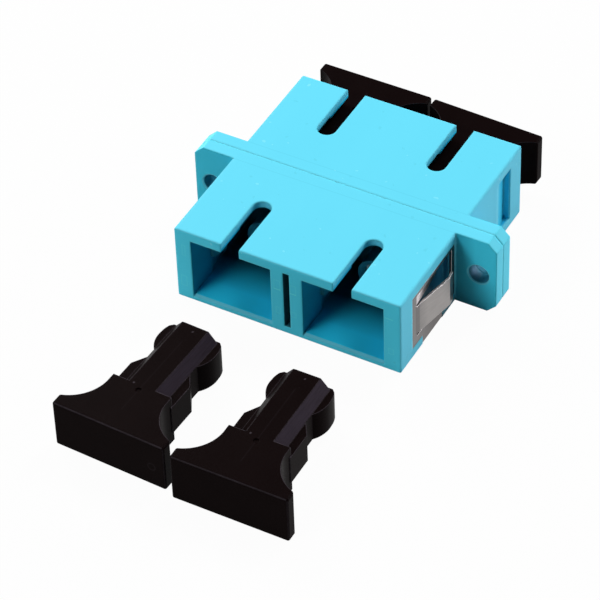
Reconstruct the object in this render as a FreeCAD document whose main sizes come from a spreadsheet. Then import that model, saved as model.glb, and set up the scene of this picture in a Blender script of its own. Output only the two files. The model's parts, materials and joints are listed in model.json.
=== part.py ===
import FreeCAD, Part
import os
import re
import Sketcher

# Duplex adapter for push-pull fibre connectors: two moulded housing halves that meet at a mounting
# flange, four latch holders with their alignment sleeves, a sprung panel clip and four dust caps.
# +X runs along the flange, +Y from the clip side to the far side, +Z up. The origin is midway between
# the two flange holes, on the parting plane. Every housing-side shape is drawn for the front half,
# which lies at -Y, and turned half round +Z for the rear half.

FRONT, REAR = "0", "180"

SIZES = (
    # ports
    ("port_pitch", 12.7, "between the two port axes"),
    ("port_wide", 9.15, "port mouth, across"),
    ("port_high", 7.5, "port mouth, upright"),
    ("port_lead", 0.3, "chamfer along the floor of the port mouth"),
    ("port_lip", 0.27, "how far the roof hangs lower in front of the chamber"),
    ("land_deep", 3.95, "from the face to the wider chamber of the latch arms"),
    ("chamber_wide", 10.0, "chamber of the latch arms, across"),
    ("key_wide", 2.1, "key slot in the top wall, across"),
    ("key_deep", 7.65, "key slot, from the face to its round end"),
    # housing
    ("half_long", 13.6, "one housing half, parting plane to face"),
    ("skin", 0.8, "top and bottom walls"),
    ("side_skin", 0.55, "wall between a chamber and the side pocket"),
    ("flange_thick", 1.5, "flange of one half"),
    ("flange_cut", 1.0, "chamfer on the flange's corners"),
    ("hole_stand", 2.55, "from the body's side to a flange hole's axis"),
    ("hole_rim", 2.0, "from a flange hole's axis to the flange's end"),
    ("hole_wide", 2.2, "flange hole"),
    ("hole_lead", 0.15, "chamfer round a flange hole"),
    ("web_slot", 0.72, "slot in the wall between the ports, across"),
    ("web_slot_deep", 8.0, "the same slot, from the face"),
    ("web_slot_skin", 0.15, "the same slot, short of the ports' top and bottom"),
    ("edge_round", 0.2, "radius on the body's outer edges"),
    ("seam_lead", 0.08, "chamfer that makes the seam between the halves"),
    # side pocket and panel clip
    ("pocket_deep", 0.6, "room behind the clip's window for the tab"),
    ("pocket_rim", 0.15, "pocket, inside the clip's window"),
    ("clip_thick", 0.25, "sheet"),
    ("clip_play", 0.05, "between the clip and its recess"),
    ("clip_front", 2.6, "from the face to the clip"),
    ("clip_back", 0.3, "from the clip to the flange"),
    ("clip_high", 6.7, "side arm of the clip"),
    ("clip_rise", 0.0, "side arm's middle above the ports' axis"),
    ("strap_front", 2.2, "from the clip's front to its bottom strap"),
    ("strap_long", 4.3, "bottom strap, along the adapter"),
    ("rail_front", 0.95, "clip's front rail"),
    ("rail_back", 0.6, "clip's rear rail"),
    ("rail_top", 0.35, "clip's top rail"),
    ("tab_low", 1.95, "bottom edge of the spring tab, below the arm's middle"),
    ("tab_high", 3.65, "spring tab, upright"),
    ("tab_slit", 0.4, "slit under the spring tab"),
    ("tab_proud", 1.05, "how far the tab's bend stands out of the body's side"),
    ("tab_lip", 0.95, "lip behind the tab's bend"),
    ("tab_lip_in", 0.15, "how far the lip turns back in"),
    ("tab_short", 1.5, "from the lip to the window's rear edge"),
    ("tongue_gap", 0.2, "between the spring tab and the tongue"),
    ("tongue_high", 0.95, "tongue above the tab, upright"),
    ("tongue_long", 5.0, "tongue, along the adapter"),
    ("tongue_in", 0.4, "how far the tongue's tip bends in"),
    # latch holder and sleeve
    ("holder_play", 0.05, "between the holder's plate and its chamber"),
    ("plate_thick", 1.5, "holder's plate"),
    ("ferrule_wide", 2.5, "bore of the alignment sleeve"),
    ("sleeve_wall", 0.35, "wall of the alignment sleeve"),
    ("sleeve_long", 11.4, "alignment sleeve"),
    ("sleeve_slot", 0.5, "slot along the alignment sleeve"),
    ("sleeve_play", 0.05, "between the sleeve and its tube, all round"),
    ("tube_wall", 0.4, "tube round the sleeve"),
    ("lip_thick", 0.8, "lip at the tube's mouth"),
    ("lip_over", 0.15, "how far the lip reaches over the sleeve, all round"),
    ("lip_lead", 0.2, "chamfer inside the lip"),
    ("arm_inset", 3.6, "from the face to a latch arm's tip"),
    ("arm_play", 0.075, "between a spread arm and the port's wall"),
    ("arm_thick", 0.6, "latch arm"),
    ("arm_high", 2.7, "latch arm, upright"),
    ("hook_nose", 0.25, "how far a hook stands in from its arm"),
    ("hook_lead", 1.6, "sloped front of a hook"),
    ("hook_flat", 0.3, "crest of a hook"),
    ("hook_back", 0.5, "sloped back of a hook"),
    # dust cap
    ("cap_proud", 4.81, "from the housing's face to a seated cap's outer face"),
    ("cap_tip_gap", 0.89, "from a seated cap's tip to the holder's plate"),
    ("cap_wide", 12.8, "cap's plate, across"),
    ("cap_high", 5.7, "cap's plate, upright"),
    ("cap_plate", 1.26, "cap's plate, thickness at its ends"),
    ("flare_long", 4.32, "hollow flare behind the plate"),
    ("flare_round", 4.3, "radius of the flare"),
    ("neck_wide", 6.72, "neck behind the flare"),
    ("neck_long", 0.68, "straight neck"),
    ("wing_high", 3.4, "the wings beside the core, upright"),
    ("block_wide", 6.88, "across the wings' shoulders"),
    ("block_end", 6.7, "from the tip to the end of the shoulders"),
    ("waist_start", 5.2, "from the tip to the waist"),
    ("waist_end", 4.0, "from the tip to the bulbs"),
    ("bulb_wide", 6.56, "across the bulbs"),
    ("bulb_crest", 1.55, "from the tip to the bulbs' widest place"),
    ("bulb_end_wide", 6.07, "across the bulbs at their end"),
    ("bulb_end", 0.35, "from the tip to the bulbs' end"),
    ("bulb_round", 3.15, "radius of a bulb"),
    ("core_wide", 5.0, "eight-sided core, across"),
    ("core_cut_wide", 1.0, "core's chamfer, across"),
    ("tip_lead", 0.25, "chamfer round the core's tip"),
    ("bore_play", 0.15, "between a seated cap and the sleeve's tube, all round"),
    ("bore_flare", 0.41, "how much wider the cap's bore is at its mouth, all round"),
    ("bore_spare", 0.6, "bore past the tube's end"),
    ("cap_round", 0.25, "radius on the plate's outer edges"),
    ("gate_wide", 0.6, "moulding gate's dimple"),
    ("gate_deep", 0.12, "depth of that dimple"),
    # where the caps stand; a turn is in degrees, anticlockwise from above
    ("cap_sag", 0.1, "rear caps, below their ports' axes"),
    ("rear_sunk", 0.27, "rear right cap, deeper than its neighbour"),
    ("rear_aside", 0.466, "rear right cap's plate, to the right of its port's axis"),
    ("rear_turn", -1.9, "rear right cap"),
    ("left_drawn", 19.354, "front left cap, drawn out from its seat"),
    ("left_turn", -2.636, "front left cap"),
    ("right_drawn", 20.174, "front right cap, drawn out from its seat"),
    ("right_aside", 1.053, "front right cap, to the right of its port's axis"),
    ("right_turn", 0.2, "front right cap"),
)

# Lengths that follow from the sizes above, as the same kind of expression.
BODY_HALF = "(port_pitch / 2 + chamber_wide / 2 + side_skin + pocket_deep + clip_thick + clip_play)"
BODY_UP = "(port_high / 2 + skin)"
HOLE_X = f"({BODY_HALF} + hole_stand)"
FLANGE_HALF = f"({HOLE_X} + hole_rim)"
RECESS_DEEP = "(clip_thick + clip_play)"
CLIP_FRONT_Y = "(clip_front - half_long)"
CLIP_BACK_Y = "(-flange_thick - clip_back)"
STRAP_FRONT_Y = f"({CLIP_FRONT_Y} + strap_front)"
STRAP_BACK_Y = f"({STRAP_FRONT_Y} + strap_long)"
WINDOW_FRONT_Y = f"({CLIP_FRONT_Y} + rail_front)"
WINDOW_BACK_Y = f"({CLIP_BACK_Y} - rail_back)"
ARM_TOP = "(clip_rise + clip_high / 2)"
ARM_LOW = "(clip_rise - clip_high / 2)"
TAB_LOW_Z = "(clip_rise - tab_low)"
TONGUE_LOW_Z = f"({TAB_LOW_Z} + tab_high + tongue_gap)"
SLEEVE_R = "(ferrule_wide / 2 + sleeve_wall)"
TUBE_BORE_R = f"({SLEEVE_R} + sleeve_play)"
TUBE_R = f"({TUBE_BORE_R} + tube_wall)"
TUBE_LONG = "(sleeve_long / 2 + lip_thick)"
CAP_LONG = "(half_long - plate_thick - cap_tip_gap + cap_proud)"
CAP_SEAT = "(half_long + cap_proud)"
TIP_SEAT = "(plate_thick + cap_tip_gap)"
ON_TABLE = f"(cap_high / 2 - {BODY_UP})"

doc = FreeCAD.newDocument("fibre_adapter")
sheet = doc.addObject("Spreadsheet::Sheet", "Sizes")
for row, (alias, value, meaning) in enumerate(SIZES, 1):
    sheet.set(f"A{row}", meaning)
    sheet.set(f"B{row}", str(value))
    sheet.setAlias(f"B{row}", alias)
doc.recompute()
ALIASES = {alias for alias, value, meaning in SIZES}


def cells(text):
    """An expression on the sheet's cells, from one written with their bare names."""
    return re.sub(r"[a-z_]+", lambda m: "Sizes." + m[0] if m[0] in ALIASES else m[0], text)


def worth(text):
    """What such an expression comes to now."""
    return float(sheet.evalExpression(cells(text)))


def bind(item, name, text):
    item.setExpression(name, cells(text))


def feature(body, kind, name, **settings):
    """A new feature at the body's tip, with plain settings."""
    item = body.newObject("PartDesign::" + kind, name)
    for key, setting in settings.items():
        setattr(item, key, setting)
    return item


def sketch(body, name, role, lift="0"):
    """An empty sketch on one of the body's own origin planes, lifted along that plane's normal."""
    item = body.newObject("Sketcher::SketchObject", name)
    plane = [part for part in body.Origin.OriginFeatures if part.Role == role][0]
    item.AttachmentSupport = [(plane, "")]
    item.MapMode = "FlatFace"
    bind(item, "AttachmentOffset.Base.z", lift)
    return item


def hold(item, edge, end, x, y):
    """Ties one end of a sketch edge to two expressions, measured from the sketch's origin."""
    for kind, text, axis in (("DistanceX", x, -2), ("DistanceY", y, -1)):
        if text == "0":
            item.addConstraint(Sketcher.Constraint("PointOnObject", edge, end, axis))
        else:
            number = item.addConstraint(Sketcher.Constraint(kind, -1, 1, edge, end, worth(text)))
            bind(item, f"Constraints[{number}]", text)


def arc_between(start, finish, radius, side):
    """The shorter arc of that radius; it bulges to the left of its chord when side is 1."""
    chord = finish - start
    reach = radius - (radius ** 2 - chord.Length ** 2 / 4) ** 0.5
    left = FreeCAD.Vector(-chord.y, chord.x, 0).normalize()
    return Part.Arc(start, (start + finish) / 2 + left * side * reach, finish)


def outline(item, corners):
    """A closed outline. A corner is (x, y), or (x, y, radius, side) if an arc leads on from it."""
    places = [FreeCAD.Vector(worth(corner[0]), worth(corner[1]), 0) for corner in corners]
    first = item.GeometryCount
    count = len(corners)
    ends = []
    for number, corner in enumerate(corners):
        start, finish = places[number], places[(number + 1) % count]
        if len(corner) == 2:
            item.addGeometry(Part.LineSegment(start, finish), False)
            ends.append((1, 2))
            continue
        item.addGeometry(arc_between(start, finish, worth(corner[2]), corner[3]), False)
        begins = item.getPoint(first + number, 1).distanceToPoint(start) < 1e-6
        ends.append((1, 2) if begins else (2, 1))
    for number in range(count):
        after = (number + 1) % count
        item.addConstraint(Sketcher.Constraint(
            "Coincident", first + number, ends[number][1], first + after, ends[after][0]))
    for number, corner in enumerate(corners):
        hold(item, first + number, ends[number][0], corner[0], corner[1])
        if len(corner) == 4:
            size = item.addConstraint(Sketcher.Constraint("Radius", first + number, worth(corner[2])))
            bind(item, f"Constraints[{size}]", corner[2])


def rectangle(item, left, right, low, high):
    outline(item, [(left, low), (right, low), (right, high), (left, high)])


def circle(item, x, y, radius):
    number = item.addGeometry(Part.Circle(FreeCAD.Vector(worth(x), worth(y), 0),
                                          FreeCAD.Vector(0, 0, 1), worth(radius)), False)
    hold(item, number, 3, x, y)
    size = item.addConstraint(Sketcher.Constraint("Radius", number, worth(radius)))
    bind(item, f"Constraints[{size}]", radius)


def both_sides(right):
    """A full outline from its right-hand half, given from the low end to the high end."""
    left = []
    for number in range(len(right) - 1, -1, -1):
        x, y = right[number][:2]
        bend = right[number - 1][2:] if number > 0 else ()
        left.append((f"-({x})", y) + tuple(bend))
    return right[:-1] + [right[-1][:2]] + left


def pad(body, name, profile, length, **settings):
    item = feature(body, "Pad", name, Profile=profile, **settings)
    bind(item, "Length", length)
    return item


def pocket(body, name, profile, length=None, **settings):
    """A cut; with no length it goes right through."""
    item = feature(body, "Pocket", name, Profile=profile, **settings)
    if length is None:
        item.Type = "ThroughAll"
    else:
        bind(item, "Length", length)
    return item


def mirror(body, name, *features):
    """Repeats features on the other side of the body's own YZ plane."""
    plane = [part for part in body.Origin.OriginFeatures if part.Role == "YZ_Plane"][0]
    item = feature(body, "Mirrored", name, Originals=list(features), MirrorPlane=(plane, [""]))
    body.Tip = item
    return item


def edges_where(body, test):
    """The names of the tip's edges of which every vertex passes the test."""
    doc.recompute()
    shape = body.Tip.Shape
    return [f"Edge{number}" for number, edge in enumerate(shape.Edges, 1)
            if all(test(vertex.Point) for vertex in edge.Vertexes)]


def chamfer(body, name, size, test):
    item = feature(body, "Chamfer", name, Base=(body.Tip, edges_where(body, test)))
    bind(item, "Size", size)
    return item


def fillet(body, name, radius, test):
    item = feature(body, "Fillet", name, Base=(body.Tip, edges_where(body, test)))
    bind(item, "Radius", radius)
    return item


def near(one, other):
    return abs(one - other) < 1e-4


def new_body(label, x="0", y="0", z="0", turn=FRONT):
    """A body whose own origin stands at x, y, z, turned about +Z by so many degrees."""
    body = doc.addObject("PartDesign::Body", label)
    body.Label = label
    for name, text in (("Base.x", x), ("Base.y", y), ("Base.z", z), ("Rotation.Angle", turn)):
        bind(body, "Placement." + name, text)
    return body


def housing(label, turn):
    """One moulded half: body, half the flange, two ports, and the side pockets of that half."""
    body = new_body(label, turn=turn)

    block = sketch(body, "block_outline", "XZ_Plane")
    rectangle(block, f"-{BODY_HALF}", BODY_HALF, f"-{BODY_UP}", BODY_UP)
    pad(body, "block", block, "half_long")
    half, up, face = worth(BODY_HALF), worth(BODY_UP), -worth("half_long")
    fillet(body, "outer_edges", "edge_round", lambda p: near(abs(p.x), half) and near(abs(p.z), up))

    ears = sketch(body, "flange_outline", "XZ_Plane")
    outline(ears, both_sides([
        (f"{FLANGE_HALF} - flange_cut", f"-{BODY_UP}"),
        (FLANGE_HALF, f"flange_cut - {BODY_UP}"),
        (FLANGE_HALF, f"{BODY_UP} - flange_cut"),
        (f"{FLANGE_HALF} - flange_cut", BODY_UP),
    ]))
    pad(body, "flange", ears, "flange_thick")
    chamfer(body, "seam", "seam_lead", lambda p: near(p.y, 0))

    for side, sign in (("left", "-"), ("right", "")):
        axis = f"{sign}port_pitch / 2"
        mouth = sketch(body, f"{side}_port_outline", "XZ_Plane")
        rectangle(mouth, f"{axis} - port_wide / 2", f"{axis} + port_wide / 2",
                  "-port_high / 2", "port_high / 2 - port_lip")
        pocket(body, f"{side}_port", mouth, Reversed=True)
        room = sketch(body, f"{side}_chamber_outline", "XZ_Plane")
        rectangle(room, f"{axis} - chamber_wide / 2", f"{axis} + chamber_wide / 2",
                  "-port_high / 2", "port_high / 2")
        pocket(body, f"{side}_chamber", room, "half_long - land_deep", Reversed=True)
        key = sketch(body, f"{side}_key_outline", "XY_Plane")
        rectangle(key, f"{axis} - key_wide / 2", f"{axis} + key_wide / 2",
                  "-half_long - skin", "key_deep - key_wide / 2 - half_long")
        pocket(body, f"{side}_key_slot", key, Reversed=True)
        bend = sketch(body, f"{side}_key_end_outline", "XY_Plane")
        circle(bend, axis, "key_deep - key_wide / 2 - half_long", "key_wide / 2")
        pocket(body, f"{side}_key_end", bend, Reversed=True)

    web = sketch(body, "web_slot_outline", "XZ_Plane", "half_long")
    rectangle(web, "-web_slot / 2", "web_slot / 2",
              "web_slot_skin - port_high / 2", "port_high / 2 - web_slot_skin")
    pocket(body, "web_slot", web, "web_slot_deep")

    floor, reach = -worth("port_high / 2"), worth("port_pitch / 2 + port_wide / 2")
    chamfer(body, "port_leads", "port_lead",
            lambda p: near(p.y, face) and near(p.z, floor) and abs(p.x) < reach + 0.01)

    holes = sketch(body, "flange_hole_centres", "XZ_Plane", "flange_thick")
    circle(holes, f"-{HOLE_X}", "0", "hole_wide / 2")
    circle(holes, HOLE_X, "0", "hole_wide / 2")
    doc.recompute()
    drill = feature(body, "Hole", "flange_holes", Profile=holes, Threaded=False,
                    DepthType="ThroughAll", HoleCutType="Countersink", HoleCutCustomValues=True)
    bind(drill, "Diameter", "hole_wide")
    bind(drill, "HoleCutDiameter", "hole_wide + 2 * hole_lead")
    drill.HoleCutCountersinkAngle = 90
    if turn == FRONT:
        clip_recess(body)
    else:
        wedge_pocket(body)
    return body


def clip_recess(body):
    """The clip's bed: shallow on both sides and across the bottom, deeper behind its window."""
    bed = sketch(body, "clip_bed_outline", "YZ_Plane", BODY_HALF)
    low = f"-{BODY_UP} - skin"
    front, back = f"{CLIP_FRONT_Y} - clip_play", f"{CLIP_BACK_Y} + clip_play"
    strap_front, strap_back = f"{STRAP_FRONT_Y} - clip_play", f"{STRAP_BACK_Y} + clip_play"
    outline(bed, [
        (front, f"{ARM_TOP} + clip_play"), (front, f"{ARM_LOW} - clip_play"),
        (strap_front, f"{ARM_LOW} - clip_play"), (strap_front, low), (strap_back, low),
        (strap_back, f"{ARM_LOW} - clip_play"), (back, f"{ARM_LOW} - clip_play"),
        (back, f"{ARM_TOP} + clip_play"),
    ])
    right_bed = pocket(body, "right_clip_bed", bed, RECESS_DEEP)
    deep = sketch(body, "tab_pocket_outline", "YZ_Plane", BODY_HALF)
    rectangle(deep, f"{WINDOW_FRONT_Y} + pocket_rim", f"{WINDOW_BACK_Y} - pocket_rim",
              f"{TAB_LOW_Z} - tab_slit", f"{ARM_TOP} - rail_top - pocket_rim")
    right_pocket = pocket(body, "right_tab_pocket", deep, f"{RECESS_DEEP} + pocket_deep")
    mirror(body, "left_clip_bed", right_bed, right_pocket)
    across = sketch(body, "strap_bed_outline", "XY_Plane", f"-{BODY_UP}")
    rectangle(across, f"-{BODY_HALF} - skin", f"{BODY_HALF} + skin", strap_front, strap_back)
    pocket(body, "strap_bed", across, RECESS_DEEP, Reversed=True)


def wedge_pocket(body):
    """The rear half has no clip: only a pocket whose floor slopes in towards an upright end wall."""
    wedge = sketch(body, "wedge_outline", "XY_Plane")
    bottom = f"{BODY_HALF} - {RECESS_DEEP} - pocket_deep + side_skin / 4"
    outline(wedge, [
        (f"{BODY_HALF} + skin", f"{CLIP_FRONT_Y}"), (bottom, f"{CLIP_FRONT_Y}"),
        (BODY_HALF, f"{STRAP_FRONT_Y} + rail_front"),
        (f"{BODY_HALF} + skin", f"{STRAP_FRONT_Y} + rail_front"),
    ])
    right = pocket(body, "right_wedge", wedge, "clip_high + 2 * clip_play", Midplane=True)
    mirror(body, "left_wedge", right)


def latch_holder(label, x, turn):
    """Plate that closes off one port, with the sleeve's tube and two latch arms on it."""
    body = new_body(label, x=x, turn=turn)
    plate = sketch(body, "plate_outline", "XZ_Plane")
    wide, high = "(chamber_wide / 2 - holder_play)", "(port_high / 2 - holder_play)"
    rectangle(plate, f"-{wide}", wide, f"-{high}", high)
    pad(body, "plate", plate, "plate_thick")

    ring = sketch(body, "tube_outline", "XZ_Plane")
    circle(ring, "0", "0", TUBE_R)
    pad(body, "tube", ring, TUBE_LONG)

    outer = "(port_wide / 2 - arm_play)"
    inner = f"({outer} - arm_thick)"
    nose = f"({inner} - hook_nose)"
    tip_y = "(arm_inset - half_long)"
    crest_y = f"({tip_y} + hook_lead)"
    arm = sketch(body, "right_arm_outline", "XY_Plane")
    outline(arm, [
        (outer, "-plate_thick / 2"), (inner, "-plate_thick / 2"),
        (inner, f"{crest_y} + hook_flat + hook_back"), (nose, f"{crest_y} + hook_flat"),
        (nose, crest_y), (f"{inner} + arm_thick / 3", tip_y), (outer, tip_y),
    ])
    right_arm = pad(body, "right_arm", arm, "arm_high", Midplane=True)
    mirror(body, "left_arm", right_arm)

    bore = sketch(body, "sleeve_bore_outline", "XZ_Plane")
    circle(bore, "0", "0", TUBE_BORE_R)
    pocket(body, "sleeve_bore", bore, "sleeve_long / 2 + sleeve_play", Reversed=True)
    mouth = sketch(body, "lip_bore_outline", "XZ_Plane")
    circle(mouth, "0", "0", f"{SLEEVE_R} - lip_over")
    pocket(body, "lip_bore", mouth, Reversed=True)
    end, lip = -worth(TUBE_LONG), worth(f"{SLEEVE_R} - lip_over")
    chamfer(body, "lip_chamfer", "lip_lead",
            lambda p: near(p.y, end) and (p.x ** 2 + p.z ** 2) ** 0.5 < lip + 0.01)
    return body


def split_sleeve(label, x):
    """Slotted tube that lines two ferrules up across the parting plane."""
    body = new_body(label, x=x)
    ring = sketch(body, "ring_outline", "XZ_Plane")
    circle(ring, "0", "0", SLEEVE_R)
    circle(ring, "0", "0", "ferrule_wide / 2")
    pad(body, "ring", ring, "sleeve_long", Midplane=True)
    slit = sketch(body, "slit_outline", "XY_Plane")
    rectangle(slit, "-sleeve_slot / 2", "sleeve_slot / 2", "-sleeve_long", "sleeve_long")
    pocket(body, "slit", slit, Reversed=True)
    return body


def panel_clip(label):
    """Folded sprung sheet: two side arms joined by a strap under the body, each with a spring tab."""
    body = new_body(label)
    out = f"({BODY_HALF} - clip_play / 2)"
    low = f"(-{BODY_UP} + clip_play / 2)"
    u_shape = sketch(body, "u_outline", "XZ_Plane", f"-{CLIP_BACK_Y}")
    outline(u_shape, [
        (f"-{out}", low), (out, low), (out, ARM_TOP), (f"{out} - clip_thick", ARM_TOP),
        (f"{out} - clip_thick", f"{low} + clip_thick"), (f"clip_thick - {out}", f"{low} + clip_thick"),
        (f"clip_thick - {out}", ARM_TOP), (f"-{out}", ARM_TOP),
    ])
    pad(body, "folded_sheet", u_shape, f"{CLIP_BACK_Y} - {CLIP_FRONT_Y}")
    foot = worth(low)
    for side, sign in (("left", "-"), ("right", "")):
        end = worth(sign + out)
        fillet(body, f"{side}_fold", "clip_thick", lambda p: near(p.x, end) and near(p.z, foot))

    # What is left below the arms is the strap alone.
    waste = sketch(body, "waste_outline", "YZ_Plane")
    beyond = "skin"
    rectangle(waste, f"{CLIP_FRONT_Y} - {beyond}", STRAP_FRONT_Y, f"{low} - {beyond}", ARM_LOW)
    rectangle(waste, STRAP_BACK_Y, f"{CLIP_BACK_Y} + {beyond}", f"{low} - {beyond}", ARM_LOW)
    pocket(body, "waste", waste, "4 * " + BODY_HALF, Midplane=True)
    window = sketch(body, "window_outline", "YZ_Plane")
    rectangle(window, WINDOW_FRONT_Y, WINDOW_BACK_Y, f"{TAB_LOW_Z} - tab_slit", f"{ARM_TOP} - rail_top")
    pocket(body, "window", window, "4 * " + BODY_HALF, Midplane=True)

    # Both springs are strips that leave the front rail; each one's outline is seen from above.
    tab_end = f"({WINDOW_BACK_Y} - tab_short)"
    bend = f"({tab_end} - tab_lip)"
    crest = f"({BODY_HALF} + tab_proud)"
    root = f"({WINDOW_FRONT_Y} - rail_front / 4)"
    tab = sketch(body, "tab_outline", "XY_Plane", TAB_LOW_Z)
    outline(tab, [
        (f"{out} - clip_thick", root), (out, root), (crest, bend), (f"{crest} - tab_lip_in", tab_end),
        (f"{crest} - tab_lip_in - clip_thick", tab_end), (f"{crest} - clip_thick", bend),
    ])
    right_tab = pad(body, "right_tab", tab, "tab_high")
    tongue = sketch(body, "tongue_outline", "XY_Plane", TONGUE_LOW_Z)
    tongue_end = f"({WINDOW_FRONT_Y} + tongue_long)"
    outline(tongue, [
        (f"{out} - clip_thick", root), (out, root),
        (out, WINDOW_FRONT_Y), (f"{out} - tongue_in", tongue_end),
        (f"{out} - tongue_in - clip_thick", tongue_end), (f"{out} - clip_thick", WINDOW_FRONT_Y),
    ])
    right_tongue = pad(body, "right_tongue", tongue, "tongue_high")
    mirror(body, "left_springs", right_tab, right_tongue)
    return body


def dust_cap(label, x, y, z, turn):
    """Solid plug: end plate, hollow flare, eight-sided core with a bore, and a pair of wings."""
    body = new_body(label, x=x, y=y, z=z, turn=turn)
    flare_end = "(cap_plate + flare_long)"
    neck_end = f"({flare_end} + neck_long)"
    grip = sketch(body, "grip_outline", "XY_Plane")
    outline(grip, both_sides([
        ("cap_wide / 2", "0"), ("cap_wide / 2", "cap_plate", "flare_round", 1),
        ("neck_wide / 2", flare_end), ("neck_wide / 2", neck_end),
    ]))
    pad(body, "grip", grip, "cap_high", Midplane=True)
    side = worth("cap_wide / 2")
    fillet(body, "plate_edges", "cap_round", lambda p: near(abs(p.x), side))

    core = sketch(body, "core_outline", "XZ_Plane", f"-{flare_end}")
    outline(core, both_sides([
        ("core_wide / 2 - core_cut_wide", "-cap_high / 2"),
        ("core_wide / 2", "-wing_high / 2"),
        ("core_wide / 2", "wing_high / 2"),
        ("core_wide / 2 - core_cut_wide", "cap_high / 2"),
    ]))
    pad(body, "core", core, f"{CAP_LONG} - {flare_end}", Reversed=True)
    tip = worth(CAP_LONG)
    chamfer(body, "tip_chamfer", "tip_lead", lambda p: near(p.y, tip))

    wings = sketch(body, "wings_outline", "XY_Plane")
    outline(wings, both_sides([
        ("block_wide / 2", f"{flare_end} + neck_long / 2"),
        ("block_wide / 2", f"{CAP_LONG} - block_end"),
        ("core_wide / 2", f"{CAP_LONG} - waist_start"),
        ("core_wide / 2", f"{CAP_LONG} - waist_end", "bulb_round", -1),
        ("bulb_wide / 2", f"{CAP_LONG} - bulb_crest", "bulb_round", -1),
        ("bulb_end_wide / 2", f"{CAP_LONG} - bulb_end"),
        ("bulb_end_wide / 2 - bulb_end", CAP_LONG),
    ]))
    pad(body, "wings", wings, "wing_high", Midplane=True)

    bore = sketch(body, "bore_outline", "XY_Plane")
    bore_end = f"({CAP_LONG} - ({TUBE_LONG} - {TIP_SEAT}) - bore_spare)"
    outline(bore, [
        ("0", bore_end), (f"{TUBE_R} + bore_play", bore_end),
        (f"{TUBE_R} + bore_play + bore_flare", CAP_LONG), ("0", CAP_LONG),
    ])
    feature(body, "Groove", "bore", Profile=bore, ReferenceAxis=(bore, ["V_Axis"]), Angle=360)

    dimple = sketch(body, "gate_outline", "XY_Plane", "cap_high / 2")
    circle(dimple, "0", flare_end, "gate_wide / 2")
    pocket(body, "gate_dimple", dimple, "gate_deep")
    return body


housing("front_housing", FRONT)
housing("rear_housing", REAR)
for side, sign in (("left", "-"), ("right", "")):
    port_x = f"{sign}port_pitch / 2"
    latch_holder(f"front_{side}_latch_holder", port_x, FRONT)
    latch_holder(f"rear_{side}_latch_holder", port_x, REAR)
    split_sleeve(f"{side}_alignment_sleeve", port_x)
dust_cap("rear_left_dust_cap", "-port_pitch / 2", CAP_SEAT, "-cap_sag", REAR)
dust_cap("rear_right_dust_cap", "port_pitch / 2 + rear_aside", f"{CAP_SEAT} - rear_sunk",
         "-cap_sag", f"{REAR} + rear_turn")
dust_cap("front_left_dust_cap", "-port_pitch / 2", f"-{CAP_SEAT} - left_drawn", ON_TABLE, "left_turn")
dust_cap("front_right_dust_cap", "port_pitch / 2 + right_aside", f"-{CAP_SEAT} - right_drawn",
         ON_TABLE, "right_turn")
panel_clip("panel_clip")
doc.recompute()

nodes = [item for item in doc.Objects if item.isDerivedFrom("PartDesign::Body")]
for item in doc.Objects:
    if "Invalid" in item.State or "Error" in item.State:
        raise RuntimeError(f"{item.Name} failed: {item.State}")
for item in nodes:
    if item.Shape.isNull() or not item.Shape.isValid() or len(item.Shape.Solids) != 1:
        raise RuntimeError(f"{item.Label} is not one valid solid")
os.makedirs("parts", exist_ok=True)
for item in nodes:
    item.Shape.exportStep(f"parts/{item.Label}.step")
    box = item.Shape.BoundBox
    print(f"{item.Label}: {item.Shape.Volume:.1f} mm3, x {box.XMin:.2f} {box.XMax:.2f},"
          f" y {box.YMin:.2f} {box.YMax:.2f}, z {box.ZMin:.2f} {box.ZMax:.2f}")
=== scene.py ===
import functools
import json
import math

import bpy
from mathutils import Matrix, Vector


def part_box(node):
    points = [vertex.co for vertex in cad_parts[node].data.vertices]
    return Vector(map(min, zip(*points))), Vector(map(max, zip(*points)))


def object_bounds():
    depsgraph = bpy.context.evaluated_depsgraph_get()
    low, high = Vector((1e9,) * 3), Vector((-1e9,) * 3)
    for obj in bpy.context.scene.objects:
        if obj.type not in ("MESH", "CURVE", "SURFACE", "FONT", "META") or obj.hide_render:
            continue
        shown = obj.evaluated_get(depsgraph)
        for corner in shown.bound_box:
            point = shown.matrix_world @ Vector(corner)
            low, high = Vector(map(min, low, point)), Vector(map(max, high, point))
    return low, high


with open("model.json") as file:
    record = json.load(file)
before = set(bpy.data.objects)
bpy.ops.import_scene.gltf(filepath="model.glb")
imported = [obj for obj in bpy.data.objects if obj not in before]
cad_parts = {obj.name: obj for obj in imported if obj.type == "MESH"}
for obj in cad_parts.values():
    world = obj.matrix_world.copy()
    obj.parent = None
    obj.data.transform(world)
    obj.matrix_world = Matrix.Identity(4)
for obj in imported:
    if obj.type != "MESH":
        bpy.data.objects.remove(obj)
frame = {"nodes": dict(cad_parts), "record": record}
cad_box = [list(corner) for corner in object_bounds()]


# ---- Housing halves ----------------------------------------------------------------------------
# Two halves moulded in aqua plastic and welded at the flange. The skin is a fine satin with flow
# streaks, the marks of the mould's inserts beside the ports, and edges a touch paler than the faces,
# partly scuffed and partly a painted highlight. Painted shade lies in the ports, the web's slot, the
# side pockets, the screw holes and on the flange's ears; painted light on the ports' faces, the
# ears, the flange's ends and the seam, with a painted glint in the right screw hole.

MM = 0.001


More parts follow.
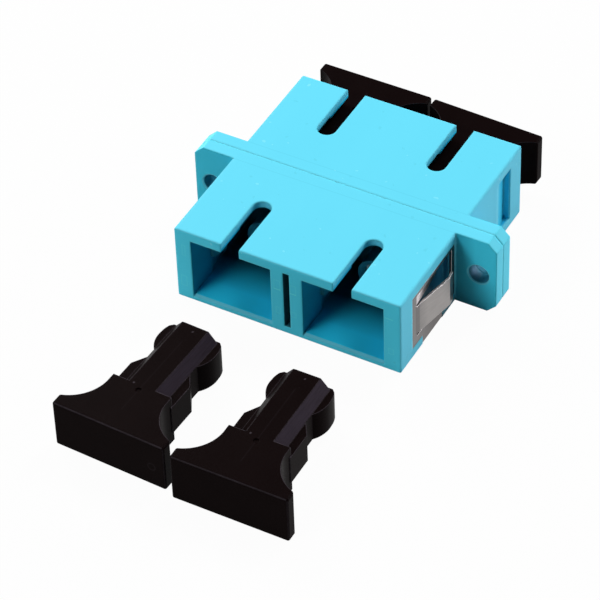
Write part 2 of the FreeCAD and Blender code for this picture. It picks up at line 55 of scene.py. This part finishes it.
class Socket:
    """A shader socket that can be added, multiplied and so on: each sum adds its Math nodes."""

    def __init__(self, tree, output):
        self.tree = tree
        self.output = output

    def _sum(self, operation, *values):
        return add_node(self.tree, "ShaderNodeMath", {"operation": operation}, dict(enumerate(values)))

    def __add__(self, other):
        return self._sum("ADD", self, other)

    def __radd__(self, other):
        return self._sum("ADD", other, self)

    def __sub__(self, other):
        return self._sum("SUBTRACT", self, other)

    def __rsub__(self, other):
        return self._sum("SUBTRACT", other, self)

    def __mul__(self, other):
        return self._sum("MULTIPLY", self, other)

    def __rmul__(self, other):
        return self._sum("MULTIPLY", other, self)

    def __truediv__(self, other):
        return self._sum("DIVIDE", self, other)

    def __abs__(self):
        return self._sum("ABSOLUTE", self)

    def below(self, limit):
        return self._sum("LESS_THAN", self, limit)

    def above(self, limit):
        return self._sum("GREATER_THAN", self, limit)

    def between(self, low, high):
        return self.above(low) * self.below(high)

    def least(self, other):
        return self._sum("MINIMUM", self, other)

    def most(self, other):
        return self._sum("MAXIMUM", self, other)


def set_inputs(node, inputs):
    """Sets a node's sockets to values, or links them."""
    for name, value in inputs.items():
        if isinstance(value, Socket):
            node.id_data.links.new(value.output, node.inputs[name])
        else:
            node.inputs[name].default_value = value


def add_node(tree, kind, settings=None, inputs=None, output=0):
    """Adds a node: its settings first, then the values or links of its sockets."""
    node = tree.nodes.new(kind)
    for name, value in (settings or {}).items():
        setattr(node, name, value)
    set_inputs(node, inputs or {})
    return Socket(tree, node.outputs[output])


def start_material(name):
    """A new material, its tree and its Principled shader."""
    material = bpy.data.materials.new(name)
    material.use_nodes = True
    return material, material.node_tree, material.node_tree.nodes["Principled BSDF"]


def place_of(tree, origin=(0, 0, 0), turn=0):
    """The point on the piece, and its x, y and z in millimetres from an origin turned about +Z."""
    point = add_node(tree, "ShaderNodeTexCoord", output="Object")
    point = add_node(tree, "ShaderNodeMapping", {"vector_type": "TEXTURE"}, {
        "Vector": point, "Location": [part * MM for part in origin],
        "Rotation": (0, 0, math.radians(turn)), "Scale": (MM, MM, MM)})
    split = tree.nodes.new("ShaderNodeSeparateXYZ")
    set_inputs(split, {0: point})
    return point, [Socket(tree, out) for out in split.outputs]


def noise(tree, point, per_mm, detail=3.0, stretch=(1, 1, 1)):
    """Noise from 0 to 1, with so many blotches to the millimetre."""
    scaled = add_node(tree, "ShaderNodeMapping", {}, {
        "Vector": point, "Scale": [factor * per_mm for factor in stretch]})
    return add_node(tree, "ShaderNodeTexNoise", {}, {
        "Vector": scaled, "Scale": 1.0, "Detail": detail, "Roughness": 0.5})


def blend_colours(tree, share, one, other):
    """Colour one where share is 0, the other where it is 1."""
    return add_node(tree, "ShaderNodeMix", {"data_type": "RGBA"},
                    {"Factor": share, 6: one, 7: other}, output=2)


def fine_bump(tree, height, strength, normal):
    """A relief a hundredth of a millimetre high, on top of a normal."""
    return add_node(tree, "ShaderNodeBump", {}, {
        "Height": height, "Strength": strength, "Distance": 0.01 * MM, "Normal": normal})


def soft_edges(tree, radius_mm, reach):
    """A normal that rounds the edges, and a share that rises to 1 along them."""
    rounded = add_node(tree, "ShaderNodeBevel", {"samples": 8}, {"Radius": radius_mm * MM})
    true = add_node(tree, "ShaderNodeNewGeometry", output="Normal")
    product = add_node(tree, "ShaderNodeVectorMath", {"operation": "DOT_PRODUCT"},
                       {0: rounded, 1: true}, output="Value")
    return rounded, ((1 - product) * reach).least(1)


def line(distance, half_width):
    """1 where a distance is 0, fading out at half a line's width."""
    return (1 - abs(distance) / half_width).most(0)


def radius(tree, x, z):
    """How far a point is from the axis that x and z are measured from."""
    flat = add_node(tree, "ShaderNodeCombineXYZ", {}, {"X": x, "Z": z})
    return add_node(tree, "ShaderNodeVectorMath", {"operation": "LENGTH"}, {0: flat}, output="Value")


def dress(material, *nodes):
    """Gives CAD nodes their material."""
    for node in nodes:
        mesh = frame["nodes"][node].data
        mesh.materials.clear()
        mesh.materials.append(material)


# The main places on the housing, in millimetres from the middle of its flange. What lies less deep
# than ON_FACE behind a face is on it.
mounts = {mount["name"]: mount for mount in frame["record"]["mounts"]}
FACE_Y = -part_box("front_housing")[0].y / MM
FLANGE_Y = -mounts["left_panel_face"]["pos_m"][1] / MM
PORT_X = mounts["right_ferrule_bore"]["pos_m"][0] / MM
HOLE_X = mounts["flange_holes"]["dims"]["spacing_x_mm"] / 2
HOLE_R = mounts["flange_holes"]["dims"]["hole_r_mm"]
BODY_X = 12.8
ON_FACE = 0.03

# Left, right, low and high edge of each insert's mark, then height, middle and half length of each
# brighter line.
INSERT_MARKS = (
    (-11.95, -11.6, 1.3, 2.65), (-12.25, -11.6, -2.85, -1.55), (-1.4, -0.72, 1.13, 2.35),
    (0.42, 1.08, 1.17, 2.3), (0.45, 1.02, -1.95, -1.3), (-1.25, -0.78, -2.1, -1.3),
    (11.45, 11.98, -2.25, -1.55))
BRIGHT_MARKS = ((1.15, -1.05, 0.4), (1.19, 0.72, 0.38), (2.43, 11.5, 0.46))
MARK_HALF_WIDTH = 0.09


def box_line(x, z, left, right, low, high):
    """The outline of an upright rectangle."""
    across = abs(x - (left + right) / 2) - (right - left) / 2
    upright = abs(z - (low + high) / 2) - (high - low) / 2
    return line(across.most(upright), MARK_HALF_WIDTH)


def insert_marks(x, z):
    """Faint outlines that the mould's inserts left on the front face."""
    outlines = [box_line(x, z, *edges) for edges in INSERT_MARKS]
    bright = [line(z - height, MARK_HALF_WIDTH) * abs(x - middle).below(half_long)
              for height, middle, half_long in BRIGHT_MARKS]
    return functools.reduce(Socket.most, outlines) * 0.3 + functools.reduce(Socket.most, bright) * 0.7


AQUA = (0.110, 0.61, 0.79, 1)
AQUA_STREAK = (0.128, 0.65, 0.83, 1)
LIT_AQUA_FACE = (0.085, 0.72, 0.93, 1)
DARK_SPECK = (0.05, 0.40, 0.50, 1)
PALE_SPECK = (0.35, 0.85, 0.95, 1)


def skin_colour(tree, point, streaks, on_face):
    """Aqua with streaks and a few specks, and painted lighter and less red on the ports' faces."""
    colour = blend_colours(tree, streaks, AQUA, AQUA_STREAK)
    # Painted light: the ports' faces in a brighter, less red aqua.
    colour = blend_colours(tree, on_face, colour, LIT_AQUA_FACE)
    specks = noise(tree, point, 1.1, detail=1)
    colour = blend_colours(tree, specks.above(0.74) * 0.16, colour, DARK_SPECK)
    return blend_colours(tree, specks.below(0.25) * 0.25, colour, PALE_SPECK)


CORNER_X = 16.3
# Painted light for the ears and the flange's ends; painted shade, glint and rim highlight below.
LIT_AQUA_EAR = (0.055, 0.73, 0.96, 1)
LIT_AQUA_FLANGE_END = (0.12, 0.74, 0.92, 1)
EAR_SHADE = (0.002, 0.10, 0.15, 1)
HOLE_SHADE = (0.01, 0.12, 0.20, 1)
HOLE_GLINT = (0.35, 0.62, 0.80, 1)
HOLE_RIM_HIGHLIGHT = (0.4, 0.85, 0.9, 1)


def shade_flange(tree, colour, x, y, z, hole):
    """The flange's ears in painted light, with painted shade beside the body and in the deep screw
    holes, and a painted glint in the right one.
    """
    ears = abs(x).above(BODY_X + 0.05) * abs(y).above(FLANGE_Y - 0.05)
    shade = x.below(0) * 0.2 + x.above(0) * (1 - (x - BODY_X) / 2.2).most(0) * 0.5
    # Painted light on the ears and the flange's ends; painted shade over the left ear and beside the
    # body on the right.
    colour = blend_colours(tree, ears * 0.9, colour, LIT_AQUA_EAR)
    colour = blend_colours(tree, ears * shade, colour, EAR_SHADE)
    colour = blend_colours(tree, abs(x).above(CORNER_X) * (1 - ears), colour, LIT_AQUA_FLANGE_END)

    # Painted shade in the screw holes, a painted glint deep in the right one, a painted highlight
    # round the rims.
    in_hole = hole.below(HOLE_R + 0.03)
    colour = blend_colours(tree, in_hole * 0.75, colour, HOLE_SHADE)
    glint = (1 - radius(tree, x - HOLE_X + 0.8, z + 0.55) / 0.9).most(0) * in_hole
    glint = glint * (1 - abs(y + 0.6) / 0.9).most(0) * 1.4
    colour = blend_colours(tree, glint, colour, HOLE_GLINT)
    return blend_colours(tree, line(hole - HOLE_R - 0.15, 0.1) * ears * 0.3, colour, HOLE_RIM_HIGHLIGHT)


PORT_HALF_WIDE = 5.02
PORT_HALF_HIGH = 3.77
LEFT_WALL = -4.5
WEB_SLOT_HALF_WIDE = 0.365
WEB_SLOT_HALF_HIGH = 3.7
POCKET_HALF_HIGH = 3.5
BELOW_TAB_Z = -1.9
# Painted shade for the ports, the clip's pockets, the deep hollows and the wedge pockets.
PORT_SHADE_AQUA = (0.02, 0.62, 0.92, 1)
CLIP_POCKET_SHADE = (0.003, 0.15, 0.32, 1)
WEDGE_POCKET_SHADE = (0.02, 0.55, 0.82, 1)
DEEP_SHADE = (0.001, 0.03, 0.05, 1)


def shade_hollows(tree, colour, x, y, z, deep):
    """Painted shade in the ports, the web's slot between them and the pockets in the body's sides."""
    behind_face = deep.above(ON_FACE)
    from_axis = x - PORT_X + 2 * PORT_X * x.below(0)
    inside = abs(from_axis).below(PORT_HALF_WIDE) * abs(z).below(PORT_HALF_HIGH) * behind_face
    # Painted shade: a less red, bluer aqua inside the ports.
    colour = blend_colours(tree, inside, colour, PORT_SHADE_AQUA)

    side_pocket = abs(z).below(POCKET_HALF_HIGH)
    clip_pocket = abs(x).between(11.6, 12.7) * side_pocket * y.below(-1.6) * behind_face
    # Painted shade in the pockets beside the clip.
    colour = blend_colours(tree, clip_pocket * 0.75, colour, CLIP_POCKET_SHADE)

    far_in = inside * ((deep - 2.5) / 5).most(0).least(0.85)
    left_walls = inside * from_axis.below(LEFT_WALL)
    web_slot = abs(x).below(WEB_SLOT_HALF_WIDE) * abs(z).below(WEB_SLOT_HALF_HIGH) * behind_face
    # Painted shade, deeper far into the ports, on their left walls, in the web's slot and under the
    # tabs.
    dark = far_in.most(left_walls * 0.45).most(web_slot * 0.8)
    dark = dark.most(clip_pocket * z.below(BELOW_TAB_Z) * 0.9)
    colour = blend_colours(tree, dark, colour, DEEP_SHADE)

    # Painted shade in the wedge pockets at the rear.
    wedge_pocket = abs(x).between(11.4, 12.6) * side_pocket * y.above(1.6)
    return blend_colours(tree, wedge_pocket * 0.8, colour, WEDGE_POCKET_SHADE)


AQUA_STEP = (0.05, 0.40, 0.55, 1)
LIT_AQUA_SEAM = (0.30, 0.92, 1.0, 1)
AQUA_EDGE = (0.16, 0.90, 0.98, 1)


def draw_seams(tree, colour, x, y, z, hole):
    """Faint steps where the flange runs into the top; painted light along the seam between halves."""
    steps = line(abs(y) - FLANGE_Y, 0.07) * z.above(4.5) * abs(x).below(BODY_X)
    colour = blend_colours(tree, steps * 0.25, colour, AQUA_STEP)
    # Painted light: a pale line along the seam's groove, lifting its shade.
    return blend_colours(tree, line(y, 0.12) * hole.above(1.2) * 0.7, colour, LIT_AQUA_SEAM)


def housing_plastic(name, marked):
    """One half's aqua; only the front half's ports lie open and show the inserts' marks."""
    material, tree, shader = start_material(name)
    point, (x, y, z) = place_of(tree)
    deep = FACE_Y - abs(y)
    hole = radius(tree, abs(x) - HOLE_X, z)
    streaks = noise(tree, point, 0.12, detail=4, stretch=(1, 0.25, 1))
    grain = noise(tree, point, 6, detail=2)
    colour = skin_colour(tree, point, streaks, deep.below(ON_FACE))
    colour = shade_flange(tree, colour, x, y, z, hole)
    colour = shade_hollows(tree, colour, x, y, z, deep)
    colour = draw_seams(tree, colour, x, y, z, hole)
    # Paler edges: partly scuffs, partly a painted highlight along the rounded edges.
    rounded, edge = soft_edges(tree, 0.32, 3)
    pale = edge * 0.5 * noise(tree, point, 1.2)
    if marked:
        pale = pale.most(insert_marks(x, z) * y.below(0.05 - FACE_Y))
    set_inputs(shader, {
        "Base Color": blend_colours(tree, pale, colour, AQUA_EDGE),
        "Roughness": 0.36 + 0.1 * grain,
        "Normal": fine_bump(tree, grain + 3 * streaks, 0.25, rounded),
        "Specular IOR Level": 0.06})
    return material


dress(housing_plastic("front_aqua_plastic", True), "front_housing")
dress(housing_plastic("rear_aqua_plastic", False), "rear_housing")


# ---- Latch holders -----------------------------------------------------------------------------
# One moulding in each port half: a plate, the tube round the sleeve and two hooked arms, in the
# same plastic as the housing, shaded deep inside the ports.

SHADED_AQUA = (0.04, 0.30, 0.38, 1)
SHADED_AQUA_BLOTCH = (0.05, 0.35, 0.44, 1)

material, tree, shader = start_material("holder_plastic")
point, _ = place_of(tree)
set_inputs(shader, {
    "Base Color": blend_colours(tree, noise(tree, point, 0.3), SHADED_AQUA, SHADED_AQUA_BLOTCH),
    "Roughness": 0.36 + 0.1 * noise(tree, point, 6, detail=2),
    "Specular IOR Level": 0.06})
dress(material, "front_left_latch_holder", "front_right_latch_holder",
      "rear_left_latch_holder", "rear_right_latch_holder")


# ---- Alignment sleeves -------------------------------------------------------------------------
# Slotted tubes of white zirconia, ground smooth, which line two ferrules up. They lie in the tubes
# of the latch holders.

CERAMIC_WHITE = (0.86, 0.85, 0.80, 1)
CERAMIC_BRIGHT = (0.93, 0.92, 0.89, 1)

material, tree, shader = start_material("zirconia")
point, _ = place_of(tree)
set_inputs(shader, {
    "Base Color": blend_colours(tree, noise(tree, point, 1.5), CERAMIC_WHITE, CERAMIC_BRIGHT),
    "Roughness": 0.12 + 0.08 * noise(tree, point, 5, stretch=(1, 0.1, 1))})
dress(material, "left_alignment_sleeve", "right_alignment_sleeve")


# ---- Panel clip --------------------------------------------------------------------------------
# One stamped and folded sheet of stainless steel, with the fine grain of the rolling. It grips the
# body under and beside the front ports; the tabs and tongues at its sides spring out. The tabs are
# painted lighter, the tongues and edges carry a painted highlight, and the lower rail a painted
# shadow under the tabs.

STEEL = (0.13, 0.125, 0.125, 1)
STEEL_GRAIN = (0.19, 0.18, 0.18, 1)
STEEL_SHADE = (0.05, 0.035, 0.03, 1)
LIT_TAB_STEEL = (0.24, 0.225, 0.22, 1)
LIT_TAB_STEEL_GRAIN = (0.36, 0.34, 0.33, 1)
TONGUE_HIGHLIGHT = (0.75, 0.71, 0.74, 1)
STEEL_EDGE_HIGHLIGHT = (0.75, 0.72, 0.70, 1)
TAB_X = 12.9
LOWER_RAIL_Z = -1.95

material, tree, shader = start_material("stainless_sheet")
point, (x, y, z) = place_of(tree)
rolled = noise(tree, point, 4, detail=4, stretch=(0.15, 0.15, 1))
colour = blend_colours(tree, rolled, STEEL, STEEL_GRAIN)
# Painted shadow under the tabs on the lower rail, deeper towards the rear.
lower_rail_shadow = z.below(LOWER_RAIL_Z) * ((y + 10) / 5).most(0).least(0.7)
colour = blend_colours(tree, lower_rail_shadow, colour, STEEL_SHADE)
# Painted light: the tabs in paler steel, brightest towards their tips.
lit_tabs = abs(x).above(TAB_X) * ((abs(x) - TAB_X) * 2 + 0.5).least(1)
colour = blend_colours(tree, lit_tabs, colour, blend_colours(tree, rolled, LIT_TAB_STEEL, LIT_TAB_STEEL_GRAIN))
# Painted highlight on the tongues, fading towards the rear.
tongue_highlight = z.between(1.85, 2.9) * y.above(-10.1) * (1 - (y + 10) / 4).most(0)
colour = blend_colours(tree, tongue_highlight * 0.8, colour, TONGUE_HIGHLIGHT)
# Painted highlight along the sheet's rounded edges.
rounded, edge = soft_edges(tree, 0.08, 8)
set_inputs(shader, {
    "Base Color": blend_colours(tree, edge * 0.5, colour, STEEL_EDGE_HIGHLIGHT),
    "Roughness": 0.28 + 0.14 * rolled,
    "Normal": fine_bump(tree, rolled, 0.2, rounded),
    "Metallic": 1.0})
dress(material, "panel_clip")


# ---- Dust caps ---------------------------------------------------------------------------------
# Solid plugs moulded in black plastic, with a dull skin, edges partly scuffed and partly in painted
# highlight, a painted sheen in streaks down the core's chamfers and a flow line along its top. Each
# cap's pattern is placed and turned with it.

BLACK = (0.0040, 0.0018, 0.0018, 1)
BLACK_BLOTCH = (0.0062, 0.0032, 0.0032, 1)
CHAMFER_SHEEN = (0.031, 0.023, 0.033, 1)
SCUFF_AND_HIGHLIGHT_GREY = (0.13, 0.11, 0.13, 1)
# The main places on a cap, in millimetres from the middle of its outer face, with y along the plug.
RIM_DEPTH = 0.3
PLATE_RIM_X = 6.27
PLATE_RIM_Z = 2.74
CORE_CHAMFER_X = 1.53
CORE_CHAMFER_Z = 1.73
CORE_START = 6.3
CORE_TOP = 2.8
GATE_Y = 5.58
RING_X, RING_Z, RING_R = 4.9, -0.3, 0.42
# Where each cap's outer face is in millimetres, its turn in degrees, how strongly its scuffs and
# painted edge highlights show, and if an ejector left a ring on it.
CAPS = (
    ("front_left", (-6.35, -37.764, -1.70), -2.636, 1, 1),
    ("front_right", (7.403, -38.584, -1.70), 0.2, 0.8, 0),
    ("rear_left", (-6.35, 18.41, -0.10), 180, 0.3, 0),
    ("rear_right", (6.816, 18.14, -0.10), 178.1, 0.3, 0))


def cap_plastic(name, place, turn, wear_and_highlight, ring):
    """One cap's black, with its pattern turned the way the cap lies."""
    material, tree, shader = start_material(name)
    point, (x, y, z) = place_of(tree, place, turn)
    at_rim = y.below(RIM_DEPTH)
    on_top = z.above(CORE_TOP)
    grain = noise(tree, point, 5, detail=3)
    colour = blend_colours(tree, noise(tree, point, 0.3), BLACK, BLACK_BLOTCH)
    # Painted sheen down the core's chamfers, in streaks.
    chamfers = x.above(CORE_CHAMFER_X) * z.above(CORE_CHAMFER_Z) * y.above(CORE_START)
    sheen_streaks = noise(tree, point, 7, detail=3, stretch=(1, 0.06, 1))
    colour = blend_colours(tree, chamfers * (0.4 + sheen_streaks).least(1), colour, CHAMFER_SHEEN)

    flow_line = line(x, 0.07) * on_top * abs(y - 8).below(5.5) * noise(tree, point, 1.5)
    ring_line = line(radius(tree, x - RING_X, z - RING_Z) - RING_R, 0.08) * y.below(ON_FACE) * ring
    specks = noise(tree, point, 1.7, detail=1).above(0.79) * on_top
    # Pale edges and plate rims: partly scuffs, partly a painted highlight.
    rounded, edge = soft_edges(tree, 0.12, 8)
    edge = edge * radius(tree, x, y - GATE_Y).above(0.5)
    long_rims = line(PLATE_RIM_Z - abs(z) + y, 0.08) * 0.7
    short_rims = line(PLATE_RIM_X - abs(x) + y, 0.08) * 0.25
    scuffs_and_edge_highlights = edge.most(long_rims.most(short_rims) * at_rim)
    scuffs_and_edge_highlights = scuffs_and_edge_highlights * wear_and_highlight * (0.1 + 0.9 * noise(tree, point, 0.8))
    marks_and_edge_highlights = scuffs_and_edge_highlights.most(flow_line * 0.08).most(ring_line * 0.1).most(specks * 0.3)
    set_inputs(shader, {
        "Base Color": blend_colours(tree, marks_and_edge_highlights, colour, SCUFF_AND_HIGHLIGHT_GREY),
        "Roughness": 0.25 + 0.12 * grain,
        "Normal": fine_bump(tree, grain, 0.3, rounded),
        "Specular IOR Level": 0.008})
    return material


for cap, place, turn, wear_and_highlight, ring in CAPS:
    dress(cap_plastic(cap + "_black_plastic", place, turn, wear_and_highlight, ring), cap + "_dust_cap")


# ---- Table and light ---------------------------------------------------------------------------
# A pale table under the object. Two soft lamps stand at the front left and two behind; a low one
# behind on the right lights the side and glints on the caps' chamfers. The room itself is dark.

TABLE_SIZE = 6
TABLE_GAP = 0.02 * MM
TABLE_GREY = (0.6, 0.6, 0.6, 1)
TABLE_WHITE_SHARE = 0.97
# Each lamp's name, place and size in metres, power in watts and colour.
LAMPS = (
    ("front_left", (-0.15, -0.35, 0.30), 0.15, 0.66, (1, 1, 1)),
    ("high_left", (-0.30, -0.35, 0.40), 0.20, 0.43, (1, 1, 1)),
    ("low_right_rear", (0.435, 0.379, 0.16), 0.20, 1.82, (0.97, 0.93, 1.0)),
    ("high_rear", (0.10, 0.35, 0.45), 0.20, 1.66, (1, 1, 1)),
    ("left_rear", (-0.35, 0.20, 0.30), 0.30, 2.14, (1, 1, 1)))

floor_level = cad_box[0][2]
bpy.ops.mesh.primitive_plane_add(size=TABLE_SIZE, location=(0, 0, floor_level - TABLE_GAP))
table = bpy.context.object
table.name = "table"
material, tree, shader = start_material("table_white")
set_inputs(shader, {"Base Color": TABLE_GREY, "Roughness": 0.9, "Specular IOR Level": 0.0})
rays = tree.nodes.new("ShaderNodeLightPath")
seen = Socket(tree, rays.outputs["Is Camera Ray"]).most(Socket(tree, rays.outputs["Is Glossy Ray"]))
seen = seen.most(Socket(tree, rays.outputs["Is Transmission Ray"]))
white = add_node(tree, "ShaderNodeEmission", {}, {"Strength": 1.0})
surface = add_node(tree, "ShaderNodeMixShader", {}, {
    0: seen * TABLE_WHITE_SHARE, 1: Socket(tree, shader.outputs[0]), 2: white})
set_inputs(tree.nodes["Material Output"], {0: surface})
table.data.materials.append(material)

for name, place, size, watts, colour in LAMPS:
    light = bpy.data.lights.new(name, "AREA")
    light.shape = "SQUARE"
    light.size = size
    light.energy = watts
    light.color = colour
    lamp = bpy.data.objects.new(name, light)
    bpy.context.collection.objects.link(lamp)
    lamp.location = place
    lamp.rotation_euler = (-Vector(place)).to_track_quat("-Z", "Y").to_euler()

world = bpy.data.worlds.new("studio")
bpy.context.scene.world = world
world.use_nodes = True
world.node_tree.nodes["Background"].inputs["Strength"].default_value = 0.0


# ---- Camera ------------------------------------------------------------------------------------
# A long lens a third of a metre away, to the right of the front and well above, which leans over by
# two degrees.

azimuth, elevation, roll = math.radians(30.004), math.radians(43.090), math.radians(-2.110)
distance = 336.51 * MM
aim = Vector((-1.9935, -7.4709, -5.8505)) * MM
toward = Vector((math.sin(azimuth) * math.cos(elevation),
                 -math.cos(azimuth) * math.cos(elevation), math.sin(elevation)))
across = (-toward).cross(Vector((0, 0, 1))).normalized()
upright = across.cross(-toward)
turned_across = math.cos(roll) * across + math.sin(roll) * upright
turned_upright = math.cos(roll) * upright - math.sin(roll) * across
lens = bpy.data.cameras.new("camera")
lens.sensor_width = 36
lens.lens = 197.11
lens.clip_start = 0.01
lens.clip_end = 20
camera = bpy.data.objects.new("camera", lens)
bpy.context.collection.objects.link(camera)
camera.matrix_world = Matrix.Translation(aim + toward * distance) @ Matrix(
    (turned_across, turned_upright, toward)).transposed().to_4x4()
bpy.context.scene.camera = camera
bpy.context.scene.view_settings.view_transform = "Standard"
